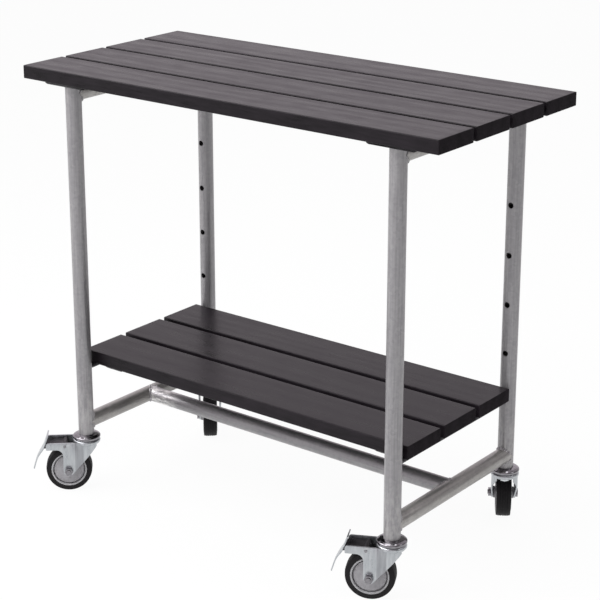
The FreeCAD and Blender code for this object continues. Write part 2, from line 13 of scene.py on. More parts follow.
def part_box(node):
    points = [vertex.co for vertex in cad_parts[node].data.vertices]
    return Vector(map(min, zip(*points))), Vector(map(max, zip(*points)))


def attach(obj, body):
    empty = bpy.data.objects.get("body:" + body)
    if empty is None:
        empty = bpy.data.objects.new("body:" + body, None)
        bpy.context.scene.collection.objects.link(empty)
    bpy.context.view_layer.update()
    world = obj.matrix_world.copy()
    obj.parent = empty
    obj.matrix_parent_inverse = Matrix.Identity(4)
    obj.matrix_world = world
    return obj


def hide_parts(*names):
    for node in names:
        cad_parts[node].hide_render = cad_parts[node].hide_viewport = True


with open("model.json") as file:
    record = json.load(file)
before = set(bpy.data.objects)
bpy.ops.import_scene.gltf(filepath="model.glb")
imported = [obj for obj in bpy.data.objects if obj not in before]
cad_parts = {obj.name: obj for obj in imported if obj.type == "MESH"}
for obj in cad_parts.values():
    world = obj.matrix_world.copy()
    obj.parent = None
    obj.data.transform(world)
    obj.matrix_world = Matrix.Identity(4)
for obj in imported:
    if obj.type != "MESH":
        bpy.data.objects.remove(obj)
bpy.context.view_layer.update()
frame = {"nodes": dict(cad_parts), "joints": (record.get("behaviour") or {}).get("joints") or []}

# Looks for a rolling potting table: black-stained planks on a welded frame of galvanised
# tube, with zinc-plated swivel castors. Metres, in the same frame as the CAD.

LOG = logging.getLogger("potting_table")
MM = 0.001
JOINTS = {joint["name"]: joint for joint in frame["joints"]}
SIDES = ("left", "right")
ENDS = ("front", "rear")
UP = Vector((0.0, 0.0, 1.0))
WHITE = (1.0, 1.0, 1.0, 1.0)
# An edge that turns more than this is a crease.
SHARP_ANGLE = math.radians(35.0)
# Faces that turn less than this are one flat face.
FLAT_ANGLE = math.radians(0.5)
# Points closer than this are one point.
SAME_SPOT = 0.001 * MM
# Solids are put in order by their places, to so many decimals of a metre.
ORDER_DIGITS = 4
# A wave texture's band is this wide at a scale of one.
WAVE_BAND = 0.314

Mesh = bpy.types.Mesh
BMesh = bmesh.types.BMesh
Tree = bpy.types.NodeTree
Socket = bpy.types.NodeSocket
Outputs = bpy.types.NodeOutputs
Inputs = dict[str | int, object]
Ring = list[bmesh.types.BMVert]
Seam = Sequence[tuple[Vector, float]]


def linear(code: str) -> tuple[float, float, float, float]:
    """Turn an sRGB hex colour into linear light.

    Args:
        code: a hash sign and six hex digits.

    Returns:
        Linear red, green and blue, and an alpha of one.
    """
    shares = [int(code[i : i + 2], 16) / 255.0 for i in (1, 3, 5)]
    light = [s / 12.92 if s <= 0.04045 else ((s + 0.055) / 1.055) ** 2.4 for s in shares]
    return (light[0], light[1], light[2], 1.0)


def per_metre(size_mm: float) -> float:
    """Turn the real size of a pattern's cell into a texture scale."""
    return 1.0 / (size_mm * MM)


def fill(tree: Tree, node: bpy.types.Node, inputs: Inputs) -> None:
    """Link or set a node's inputs.

    Args:
        tree: the node tree that the node is in.
        node: the node.
        inputs: a socket to link from, or a value to set, for each input by name or number.
    """
    for key, value in inputs.items():
        if isinstance(value, Socket):
            tree.links.new(value, node.inputs[key])
        else:
            node.inputs[key].default_value = value


def add(tree: Tree, kind: str, inputs: Inputs | None = None, **settings: object) -> Outputs:
    """Add one node, with its settings and its inputs.

    Args:
        tree: the node tree to add to.
        kind: the node's type name.
        inputs: what goes into each input.
        settings: the node's own properties.

    Returns:
        The new node's outputs.
    """
    node = tree.nodes.new(kind)
    for name, value in settings.items():
        setattr(node, name, value)
    fill(tree, node, inputs or {})
    return node.outputs


class Grain(Enum):
    """The way that streaks run on a surface, as how far each axis is stretched."""

    ALONG_X = (1.0, 0.0, 0.0)
    ALONG_Y = (0.0, 1.0, 0.0)
    ALONG_Z = (0.0, 0.0, 1.0)
    EVEN = (0.0, 0.0, 0.0)

    def scale(self, stretch: float) -> tuple[float, ...]:
        """Mapping scale that draws a pattern out along this way."""
        return tuple(1.0 / stretch if share else 1.0 for share in self.value)


@dataclass(frozen=True)
class Finish:
    """A finish that gives one procedural material, between a dark and a pale colour."""

    name: str
    dark: str
    pale: str
    grain: Grain = Grain.EVEN
    stretch: float = 12.0
    metallic: float = 0.0
    specular: float = 0.5
    rough_low: float = 0.4
    rough_high: float = 0.5
    relief_mm: float = 0.1
    relief_share: float = 0.3
    low_at: float = 0.3
    high_at: float = 0.7
    pale_at: float = 0.7

    def paint(self, tree: Tree, coords: Socket, along: Socket) -> Inputs:
        """Draw the patterns; each finish has its own way.

        Args:
            tree: the material's node tree.
            coords: the place on the object.
            along: the same, drawn out along the grain.

        Returns:
            What goes into each input of the shader.
        """
        raise NotImplementedError

    def shader(self, tree: Tree, tone: Socket, gloss: Socket, height: Socket) -> Inputs:
        """Turn patterns into colour, gloss and relief.

        Args:
            tree: the material's node tree.
            tone: the pattern that runs from the dark to the pale colour.
            gloss: the pattern that runs from the low to the high roughness.
            height: the pattern that stands out in relief.

        Returns:
            What goes into each input of the shader.
        """
        spread = {"Value": tone, "From Min": self.low_at, "From Max": self.pale_at}
        shade = add(tree, "ShaderNodeMapRange", spread)["Result"]
        colours = {0: shade, 6: linear(self.dark), 7: linear(self.pale)}
        limits = {
            "Value": gloss,
            "From Min": self.low_at,
            "From Max": self.high_at,
            "To Min": self.rough_low,
            "To Max": self.rough_high,
        }
        bump = {"Strength": self.relief_share, "Distance": self.relief_mm * MM, "Height": height}
        return {
            "Base Color": add(tree, "ShaderNodeMix", colours, data_type="RGBA")[2],
            "Metallic": self.metallic,
            "Specular IOR Level": self.specular,
            "Roughness": add(tree, "ShaderNodeMapRange", limits)["Result"],
            "Normal": add(tree, "ShaderNodeBump", bump)["Normal"],
        }

    def material(self) -> bpy.types.Material:
        """Make the material, or hand back the one already made.

        Returns:
            The material of this finish.
        """
        made = bpy.data.materials.get(self.name)
        if made is None:
            made = bpy.data.materials.new(self.name)
            made.use_nodes = True
            tree = made.node_tree
            coords = add(tree, "ShaderNodeTexCoord")["Object"]
            drawn_out = {"Vector": coords, "Scale": self.grain.scale(self.stretch)}
            along = add(tree, "ShaderNodeMapping", drawn_out)["Vector"]
            fill(tree, tree.nodes["Principled BSDF"], self.paint(tree, coords, along))
        return made


@dataclass(frozen=True)
class StainedPine(Finish):
    """Planed pine under a black stain and a satin oil.

    The eye sees charcoal with a faint long grain, and a soft sheen that picks up the room.
    """

    dark: str = "#110e11"
    pale: str = "#252025"
    grain: Grain = Grain.ALONG_X
    stretch: float = 10.0
    specular: float = 0.14
    rough_low: float = 0.24
    rough_high: float = 0.42
    rough_end: float = 0.9
    relief_mm: float = 0.09
    relief_share: float = 0.5
    pale_at: float = 0.72
    ring_mm: float = 38.0
    ring_wobble: float = 11.0
    fibre_mm: float = 5.0
    fibre_share: float = 0.8
    blotch_mm: float = 60.0
    blotch_share: float = 0.3

    def paint(self, tree: Tree, coords: Socket, along: Socket) -> Inputs:
        """Draw rings, fibres and blotches of stain along the board, and dull its ends.

        Args:
            tree: the material's node tree.
            coords: the place on the object.
            along: the same, drawn out along the grain.

        Returns:
            What goes into each input of the shader.
        """
        waves = {
            "Vector": along,
            "Scale": WAVE_BAND * per_metre(self.ring_mm),
            "Distortion": self.ring_wobble,
            "Detail": 3.0,
            "Detail Scale": 0.8,
        }
        rings = add(tree, "ShaderNodeTexWave", waves, bands_direction="Y")["Fac"]
        # Real fibres are finer; they are drawn this coarse so that they show.
        threads = {"Vector": along, "Scale": per_metre(self.fibre_mm), "Detail": 4.0, "Roughness": 0.58}
        fibres = add(tree, "ShaderNodeTexNoise", threads)["Fac"]
        stains = {"Vector": coords, "Scale": per_metre(self.blotch_mm), "Detail": 3.0}
        blotches = add(tree, "ShaderNodeTexNoise", stains)["Fac"]
        grain = add(tree, "ShaderNodeMix", {0: self.fibre_share, 2: rings, 3: fibres})[0]
        tone = add(tree, "ShaderNodeMix", {0: self.blotch_share, 2: grain, 3: blotches})[0]
        inputs = self.shader(tree, tone, tone, grain)
        # End grain drinks the oil, so the sawn ends stay dull.
        facing = {0: add(tree, "ShaderNodeTexCoord")["Normal"], 1: self.grain.value}
        out = add(tree, "ShaderNodeVectorMath", facing, operation="DOT_PRODUCT")["Value"]
        end = add(tree, "ShaderNodeMath", {0: out}, operation="ABSOLUTE")[0]
        dulled = {0: end, 2: inputs["Roughness"], 3: self.rough_end}
        inputs["Roughness"] = add(tree, "ShaderNodeMix", dulled)[0]
        return inputs


@dataclass(frozen=True)
class Galvanised(Finish):
    """Steel dipped in molten zinc.

    The eye sees a dull pale grey, with spangles of zinc crystal and streaks where it ran off.
    """

    dark: str = "#868487"
    pale: str = "#9f9d9f"
    grain: Grain = Grain.ALONG_Z
    stretch: float = 22.0
    metallic: float = 0.5
    rough_low: float = 0.3
    rough_high: float = 0.45
    relief_mm: float = 0.25
    relief_share: float = 0.25
    spangle_mm: float = 6.0
    streak_mm: float = 4.0
    streak_share: float = 0.8
    both_ends: bool = True
    weld_at: float = 0.0
    weld_reach: float = 0.08
    # Colour of the zinc paint round the welds; near-white on the stretcher, where it is also a painted
    # glint.
    weld_paint_and_glint: str = "#dedbd9"
    weld_share: float = 0.2
    daub_mm: float = 9.0
    daub_stretch: float = 3.0
    daub_from: float = 0.42
    daub_to: float = 0.6

    def zinc_paint_and_glint(self, tree: Tree, coords: Socket) -> Socket:
        """Brush zinc paint on round the welds at the tube's ends; where the patch is near-white, it is
        also a painted glint.

        Args:
            tree: the material's node tree.
            coords: the place on the object.

        Returns:
            The share of the surface that the paint covers, which on the stretcher is also a painted
            glint.
        """
        axis = {0: coords, 1: self.grain.value}
        run = add(tree, "ShaderNodeVectorMath", axis, operation="DOT_PRODUCT")["Value"]
        # The second input only counts where the tube has a weld at one end, on the negative side.
        fold = "ABSOLUTE" if self.both_ends else "MULTIPLY"
        out = add(tree, "ShaderNodeMath", {0: run, 1: -1.0}, operation=fold)[0]
        past = add(tree, "ShaderNodeMath", {0: out, 1: self.weld_at}, operation="SUBTRACT")[0]
        fade = {
            "Value": add(tree, "ShaderNodeMath", {0: past}, operation="ABSOLUTE")[0],
            "From Min": self.weld_reach / 2.0,
            "From Max": self.weld_reach,
            "To Min": self.weld_share,
            "To Max": 0.0,
        }
        near = add(tree, "ShaderNodeMapRange", fade)["Result"]
        strokes = {"Vector": coords, "Scale": self.grain.scale(self.daub_stretch)}
        brushed = add(tree, "ShaderNodeMapping", strokes)["Vector"]
        bristles = {"Vector": brushed, "Scale": per_metre(self.daub_mm), "Detail": 4.0, "Roughness": 0.7}
        daubs = add(tree, "ShaderNodeTexNoise", bristles)["Fac"]
        covered = {"Value": daubs, "From Min": self.daub_from, "From Max": self.daub_to}
        daubed = add(tree, "ShaderNodeMapRange", covered)["Result"]
        return add(tree, "ShaderNodeMath", {0: near, 1: daubed}, operation="MULTIPLY")[0]

    def paint(self, tree: Tree, coords: Socket, along: Socket) -> Inputs:
        """Draw spangles, streaks along the tube, and zinc paint round its welds, which on the stretcher
        is also a painted glint.

        Args:
            tree: the material's node tree.
            coords: the place on the object.
            along: the same, drawn out along the grain.

        Returns:
            What goes into each input of the shader.
        """
        cells = {"Vector": coords, "Scale": per_metre(self.spangle_mm)}
        crystals = add(tree, "ShaderNodeTexVoronoi", cells)["Color"]
        spangle = add(tree, "ShaderNodeRGBToBW", {"Color": crystals})["Val"]
        runs = {"Vector": along, "Scale": per_metre(self.streak_mm), "Detail": 4.0}
        streaks = add(tree, "ShaderNodeTexNoise", runs)["Fac"]
        tone = add(tree, "ShaderNodeMix", {0: self.streak_share, 2: spangle, 3: streaks})[0]
        inputs = self.shader(tree, tone, streaks, tone)
        # Zinc paint round the welds; on the stretcher its near-white patch is also a painted glint.
        patched = {0: self.zinc_paint_and_glint(tree, coords), 6: inputs["Base Color"], 7: linear(self.weld_paint_and_glint)}
        inputs["Base Color"] = add(tree, "ShaderNodeMix", patched, data_type="RGBA")[2]
        return inputs


@dataclass(frozen=True)
class Mottled(Finish):
    """A plated, moulded or cast surface that is one colour with a fine uneven mottle.

    The eye sees zinc plating, rubber or plastic, by the colour, gloss and size of the mottle.
    """

    mottle_mm: float = 3.0

    def paint(self, tree: Tree, coords: Socket, along: Socket) -> Inputs:
        """Vary colour, gloss and height by one noise.

        Args:
            tree: the material's node tree.
            coords: the place on the object; not used here.
            along: the same, drawn out along the grain.

        Returns:
            What goes into each input of the shader.
        """
        cells = {"Vector": along, "Scale": per_metre(self.mottle_mm), "Detail": 4.0}
        mottle = add(tree, "ShaderNodeTexNoise", cells)["Fac"]
        return self.shader(tree, mottle, mottle, mottle)


PINE = StainedPine("black_stained_pine")
UPRIGHT_TUBE = Galvanised("galvanised_steel_upright", weld_at=0.17)
# The cross tubes are the same galvanised tube as the legs, drawn a little paler and warmer as painted
# light for the light on their upper sides.
CROSS_TUBE = Galvanised(
    "galvanised_steel_cross", grain=Grain.ALONG_Y, dark="#8d8b8a", pale="#aaa7a4", weld_at=0.19
)
# The stretcher's left weld alone was painted over heavily with zinc. Its patch is drawn near-white at
# full share, so it is partly real paint and partly a painted glint, where that spot lies in shade under
# the shelf.
LONG_TUBE = Galvanised(
    "galvanised_steel_long", grain=Grain.ALONG_X, both_ends=False, weld_at=0.389,
    weld_paint_and_glint="#f4f2f0", weld_share=1.0,
)
# Brushed-over weld metal: brighter and lumpier than the tube round it.
WELD = Mottled(
    "zinc_painted_weld", dark="#97959a", pale="#d3d1d2", mottle_mm=2.5, metallic=0.8,
    rough_low=0.3, rough_high=0.5, relief_mm=0.3,
)
# Weld that was ground smooth before dipping: as dull as the tube, a little paler.
FILLET = Mottled(
    "galvanised_ground_weld", dark="#9b999b", pale="#adabac", mottle_mm=8.0, metallic=0.4,
    rough_low=0.4, rough_high=0.52, relief_mm=0.05,
)
# Pressed sheet with a clear blue passivation: pale, cool and satin.
ZINC_SHEET = Mottled(
    "blue_zinc_pressed_sheet", dark="#a8acb0", pale="#c1c4c7", mottle_mm=5.0, grain=Grain.ALONG_Z,
    stretch=6.0, metallic=0.9, rough_low=0.26, rough_high=0.36, relief_mm=0.03,
)
# The same sheet on the flared facets of the fork's cheeks, drawn duller and darker as painted shade.
FLARE_SHADE_SHEET = Mottled(
    "blue_zinc_drawn_sheet", dark="#94969a", pale="#a8aaae", mottle_mm=5.0, grain=Grain.ALONG_Z,
    stretch=6.0, metallic=0.9, rough_low=0.3, rough_high=0.4, relief_mm=0.03,
)
# Polished before plating: it mirrors the room in hard bands.
BRIGHT_ZINC = Mottled(
    "bright_zinc_turned", dark="#bfc2c5", pale="#d9dbdd", mottle_mm=4.0, metallic=1.0,
    rough_low=0.08, rough_high=0.16, relief_mm=0.02,
)
# Swivel heads, axle bolts and pins: polished zinc drawn darker than the bright zinc as a painted dark
# reflection of the room, so that it shows as a dark mirror with hard highlights.
DARK_REFLECTION_ZINC = Mottled(
    "dark_polished_zinc", dark="#7a787c", pale="#959397", mottle_mm=4.0, metallic=1.0,
    rough_low=0.06, rough_high=0.12, relief_mm=0.02,
)
# Plated wood screws, dulled by driving.
SCREW_ZINC = Mottled(
    "dull_zinc_screw", dark="#8d8a82", pale="#b7b4aa", mottle_mm=1.5, metallic=0.95,
    rough_low=0.3, rough_high=0.45, relief_mm=0.05,
)
# Solid rubber with a moulded matt skin, greyed by dust.
RUBBER = Mottled(
    "moulded_black_rubber", dark="#121113", pale="#201e20", mottle_mm=2.0,
    rough_low=0.5, rough_high=0.68, relief_mm=0.15, specular=0.2,
)
# Injection-moulded polyamide: even grey with a soft gloss.
CORE_PLASTIC = Mottled(
    "moulded_grey_polyamide", dark="#949296", pale="#a5a3a7", mottle_mm=6.0,
    rough_low=0.36, rough_high=0.46, relief_mm=0.05,
)
# The core's rim, drawn a little paler and smoother; the paler tone is a painted highlight for the light
# that its rounded rim catches.
RIM_HIGHLIGHT_PLASTIC = Mottled(
    "moulded_pale_polyamide", dark="#a3a2a5", pale="#b4b3b6", mottle_mm=6.0,
    rough_low=0.34, rough_high=0.44, relief_mm=0.05,
)
# Drawn rod whose zinc has weathered: a dull dark grey that hardly shines.
WEATHERED_ROD = Mottled(
    "weathered_zinc_rod", dark="#2c2a2d", pale="#434144", mottle_mm=6.0, grain=Grain.ALONG_Y,
    stretch=8.0, metallic=0.5, rough_low=0.5, rough_high=0.65, relief_mm=0.05,
)
# Painted shade on the brake pedal's web inside the fork: a dark steel colour that stands in for the shade
# and dark reflections in the channel, and hides its detail.
PEDAL_WEB_SHADE = Mottled(
    "oiled_dark_steel", dark="#2a282b", pale="#454246", mottle_mm=5.0, metallic=0.6,
    rough_low=0.4, rough_high=0.55, relief_mm=0.2, specular=0.3,
)
# Inserts in the leg ends: plain black plastic with little gloss.
INSERT_PLASTIC = Mottled(
    "moulded_black_polyamide", dark="#161617", pale="#222223", mottle_mm=4.0,
    rough_low=0.42, rough_high=0.55, relief_mm=0.05,
)


def dress(node: str, finish: Finish) -> None:
    """Give a CAD node that is shown as it is its procedural material.

    Args:
        node: the CAD node's name.
        finish: what it is finished in.
    """
    for slot in frame["nodes"][node].material_slots:
        slot.material = finish.material()
    LOG.info("%s keeps its solid, in %s", node, finish.name)


def placed(name: str, data: bpy.types.ID) -> bpy.types.Object:
    """Put a new object in the scene.

    Args:
        name: the object's name.
        data: its mesh, lamp or camera.

    Returns:
        The object.
    """
    obj = bpy.data.objects.new(name, data)
    bpy.context.scene.collection.objects.link(obj)
    return obj


def piece(name: str, mesh: Mesh, body: str, stands_for: Sequence[str] = ()) -> None:
    """Put a finished mesh in the scene as a piece of the object.

    Args:
        name: the piece's name.
        mesh: its mesh, already in place and with its material.
        body: the body that it moves with.
        stands_for: the CAD nodes that it is shown instead of.
    """
    obj = placed(name, mesh)
    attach(obj, body)
    if stands_for:
        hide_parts(*stands_for)
    LOG.info("%s rides %s with %d faces", name, body, len(mesh.polygons))


def finished(work: BMesh, name: str, *finishes: Finish) -> Mesh:
    """Close a bmesh as a smooth mesh that keeps its sharp edges.

    Args:
        work: the bmesh, which is freed.
        name: the mesh's name.
        finishes: its materials in order.

    Returns:
        The mesh.
    """
    for face in work.faces:
        face.smooth = True
    for edge in work.edges:
        edge.smooth = edge.calc_face_angle(0.0) < SHARP_ANGLE
    mesh = bpy.data.meshes.new(name)
    work.to_mesh(mesh)
    work.free()
    for finish in finishes:
        mesh.materials.append(finish.material())
    return mesh


def eased(corners: Sequence[tuple[float, ...]], steps: int) -> list[tuple[float, float]]:
    """Turn corners into a closed outline with an arc at each corner that has a radius.

    Args:
        corners: (a, b) for a sharp corner or (a, b, radius) for a rounded one.
        steps: the straight steps in each arc.

    Returns:
        The outline's points.
    """
    points = []
    for i, (a, b, *radius) in enumerate(corners):
        here = Vector((a, b))
        if not radius:
            points.append((a, b))
            continue
        back = (Vector(corners[i - 1][:2]) - here).normalized()
        onward = (Vector(corners[(i + 1) % len(corners)][:2]) - here).normalized()
        half = back.angle(onward) / 2.0
        centre = here + (back + onward).normalized() * (radius[0] / math.sin(half))
        run = radius[0] / math.tan(half)
        start = here + back * run - centre
        end = here + onward * run - centre
        for k in range(steps + 1):
            points.append(tuple(centre + start.slerp(end, k / steps)))
    return points


def circle(work: BMesh, radius: float, height: float, count: int) -> Ring:
    """Set points in order round a circle about the Z axis."""
    turns = [math.tau * k / count for k in range(count)]
    return [work.verts.new((radius * math.cos(t), radius * math.sin(t), height)) for t in turns]


def skin(work: BMesh, ring: Ring, after: Ring) -> None:
    """Close the band between two rings that have as many points.

    Args:
        work: the bmesh that they are in.
        ring: the points of one ring in order.
        after: the points of the next one.
    """
    for i in range(len(ring)):
        j = (i + 1) % len(ring)
        work.faces.new((ring[i], ring[j], after[j], after[i]))


def spun(outline: Sequence[tuple[float, float]], place: Matrix, steps: int) -> BMesh:
    """Turn a closed outline about an axis.

    Args:
        outline: (radius, height along the axis) points, in millimetres.
        place: where the turning axis, its own Z, goes.
        steps: the steps in a full turn.

    Returns:
        A closed bmesh with its faces outwards.
    """
    work = bmesh.new()
    rings = []
    for k in range(steps):
        turn = math.tau * k / steps
        spots = [Vector((r * math.cos(turn), r * math.sin(turn), h)) * MM for r, h in outline]
        rings.append([work.verts.new(place @ spot) for spot in spots])
    for k, ring in enumerate(rings):
        skin(work, ring, rings[(k + 1) % steps])
    bmesh.ops.recalc_face_normals(work, faces=work.faces)
    return work


def merged(node: str) -> BMesh:
    """Copy a CAD node's mesh with its loose triangles joined and its flat faces whole.

    Args:
        node: the CAD node's name.

    Returns:
        The joined copy.
    """
    work = bmesh.new()
    work.from_mesh(frame["nodes"][node].data)
    bmesh.ops.remove_doubles(work, verts=work.verts, dist=SAME_SPOT)
    bmesh.ops.dissolve_limit(work, angle_limit=FLAT_ANGLE, verts=work.verts, edges=work.edges)
    return work


def softened(node: str, width_mm: float, finish: Finish) -> Mesh:
    """Copy a CAD node with its sharp edges rounded, so that they catch the light.

    Args:
        node: the CAD node's name.
        width_mm: how wide the rounding is.
        finish: the copy's finish.

    Returns:
        The softened mesh.
    """
    work = merged(node)
    bmesh.ops.bevel(
        work,
        geom=[edge for edge in work.edges if edge.calc_face_angle(0.0) > SHARP_ANGLE],
        offset=width_mm * MM,
        offset_type="OFFSET",
        segments=2,
        profile=0.5,
        affect="EDGES",
        clamp_overlap=True,
    )
    return finished(work, node + "_softened", finish)


def solids_of(node: str) -> list[tuple[Vector, Vector]]:
    """Find where each separate solid of a group node is.

    Args:
        node: the CAD node's name.

    Returns:
        The lowest and highest corner of each solid, in the order of their places.
    """
    work = merged(node)
    left = set(work.verts)
    boxes = []
    while left:
        reached = [left.pop()]
        for vert in reached:
            near = {edge.other_vert(vert) for edge in vert.link_edges} & left
            left -= near
            reached.extend(near)
        axes = list(zip(*(vert.co for vert in reached)))
        boxes.append((Vector([min(a) for a in axes]), Vector([max(a) for a in axes])))
    work.free()
    return sorted(boxes, key=lambda box: [round(place, ORDER_DIGITS) for place in box[0]])


class GeometryTree:
    """A Geometry Nodes tree with named inputs that turns a guide mesh into a finished piece."""

    def __init__(self, name: str, inputs: dict[str, str]) -> None:
        """Start the tree.

        Args:
            name: the tree's name.
            inputs: the socket type of each named input.
        """
        self.tree = bpy.data.node_groups.new(name, "GeometryNodeTree")
        sockets = {"Guide": "NodeSocketGeometry", "Finish": "NodeSocketMaterial", **inputs}
        for label, kind in sockets.items():
            self.tree.interface.new_socket(label, in_out="INPUT", socket_type=kind)
        self.tree.interface.new_socket("Piece", in_out="OUTPUT", socket_type="NodeSocketGeometry")
        self.given = add(self.tree, "NodeGroupInput")

    def close(self, geometry: Socket) -> None:
        """Realise the instances, set the finish and link the output.

        Args:
            geometry: what the tree has made.
        """
        solid = add(self.tree, "GeometryNodeRealizeInstances", {"Geometry": geometry})["Geometry"]
        covered = {"Geometry": solid, "Material": self.given["Finish"]}
        painted = add(self.tree, "GeometryNodeSetMaterial", covered)["Geometry"]
        add(self.tree, "NodeGroupOutput", {"Piece": painted})

    def grow(self, guide: Mesh, **values: object) -> Mesh:
        """Run the tree on a guide.

        Args:
            guide: the mesh that the tree works on.
            values: a value for each named input, with underscores for spaces.

        Returns:
            The plain mesh that it makes.
        """
        holder = placed(guide.name, guide)
        modifier = holder.modifiers.new("grow", "NODES")
        modifier.node_group = self.tree
        for item in self.tree.interface.items_tree:
            key = item.name.replace(" ", "_")
            if item.in_out == "INPUT" and key in values:
                modifier[item.identifier] = values[key]
        graph = bpy.context.evaluated_depsgraph_get()
        mesh = bpy.data.meshes.new_from_object(holder.evaluated_get(graph))
        mesh.name = guide.name
        holder.modifiers.remove(modifier)
        bpy.data.objects.remove(holder)
        return mesh


class RepeatTree(GeometryTree):
    """Sets one shape at each point of the guide, along its facing, each with its own roll."""

    def __init__(self) -> None:
        """Build the tree."""
        super().__init__("repeat_at_points", {"Shape": "NodeSocketObject", "Seed": "NodeSocketInt"})
        tree = self.tree
        shape = add(tree, "GeometryNodeObjectInfo", {"Object": self.given["Shape"]})["Geometry"]
        named = add(tree, "GeometryNodeInputNamedAttribute", {"Name": "facing"}, data_type="FLOAT_VECTOR")
        facing = {"Vector": named["Attribute"]}
        aim = add(tree, "FunctionNodeAlignRotationToVector", facing, axis="Z")["Rotation"]
        full_turn = {2: 0.0, 3: math.tau, "Seed": self.given["Seed"]}
        roll = add(tree, "FunctionNodeRandomValue", full_turn, data_type="FLOAT")[1]
        about_z = {"Axis": tuple(UP), "Angle": roll}
        spin = add(tree, "FunctionNodeAxisAngleToRotation", about_z)["Rotation"]
        both = {"Rotation": aim, "Rotate By": spin}
        turned = add(tree, "FunctionNodeRotateRotation", both, rotation_space="LOCAL")["Rotation"]
        spread = {"Points": self.given["Guide"], "Instance": shape, "Rotation": turned}
        self.close(add(tree, "GeometryNodeInstanceOnPoints", spread)["Instances"])


class WeldTree(GeometryTree):
    """Lays a rippled bead of weld along the guide's edges."""

    RIPPLE_SHAPE = (1.0, 1.0, 0.62)

    def __init__(self) -> None:
        """Build the tree."""
        sizes = ("Bead radius", "Ripple spacing", "Smallest", "Largest")
        inputs = {label: "NodeSocketFloat" for label in sizes}
        super().__init__("weld_along_seam", {**inputs, "Seed": "NodeSocketInt"})
        tree = self.tree
        given = self.given
        seam = add(tree, "GeometryNodeMeshToCurve", {"Mesh": given["Guide"]})["Curve"]
        spaced = {"Curve": seam, "Length": given["Ripple spacing"]}
        steps = add(tree, "GeometryNodeResampleCurve", spaced, mode="LENGTH")["Curve"]
        limits = {2: given["Smallest"], 3: given["Largest"], "Seed": given["Seed"]}
        size = add(tree, "FunctionNodeRandomValue", limits, data_type="FLOAT")[1]
        named = add(tree, "GeometryNodeInputNamedAttribute", {"Name": "girth"}, data_type="FLOAT")
        share = {0: named["Attribute"], 1: given["Bead radius"]}
        full = add(tree, "ShaderNodeMath", share, operation="MULTIPLY")[0]
        radius = add(tree, "ShaderNodeMath", {0: size, 1: full}, operation="MULTIPLY")[0]
        sized = {0: self.RIPPLE_SHAPE, "Scale": radius}
        flat = add(tree, "ShaderNodeVectorMath", sized, operation="SCALE")["Vector"]
        tangent = {"Vector": add(tree, "GeometryNodeInputTangent")["Tangent"]}
        aim = add(tree, "FunctionNodeAlignRotationToVector", tangent, axis="Z")["Rotation"]
        ball = {"Segments": 10, "Rings": 6, "Radius": 1.0}
        ripple = add(tree, "GeometryNodeMeshUVSphere", ball)["Mesh"]
        spread = {"Points": steps, "Instance": ripple, "Rotation": aim, "Scale": flat}
        ripples = add(tree, "GeometryNodeInstanceOnPoints", spread)["Instances"]
        self.close(add(tree, "GeometryNodeSetShadeSmooth", {"Geometry": ripples})["Geometry"])


def guide_points(name: str, spots: Sequence[Vector], facing: Vector) -> Mesh:
    """Make a guide of loose points that all face one way.

    Args:
        name: the guide's name.
        spots: where the points are.
        facing: the way that each shape's Z goes.

    Returns:
        The guide mesh.
    """
    guide = bpy.data.meshes.new(name)
    guide.from_pydata([tuple(spot) for spot in spots], [], [])
    ways = guide.attributes.new("facing", "FLOAT_VECTOR", "POINT")
    for entry in ways.data:
        entry.vector = facing
    return guide


def guide_seams(name: str, seams: Sequence[Seam]) -> Mesh:
    """Make a guide of edges, one run for each open seam.

    Args:
        name: the guide's name.
        seams: each seam's points in order, with the share of the full bead that each has.

    Returns:
        The guide mesh, with the shares in its attribute girth.
    """
    spots = []
    shares = []
    edges = []
    for seam in seams:
        first = len(spots)
        spots.extend(tuple(spot) for spot, _ in seam)
        shares.extend(share for _, share in seam)
        edges.extend((first + i, first + i + 1) for i in range(len(seam) - 1))
    guide = bpy.data.meshes.new(name)
    guide.from_pydata(spots, edges, [])
    girth = guide.attributes.new("girth", "FLOAT", "POINT")
    girth.data.foreach_set("value", shares)
    return guide


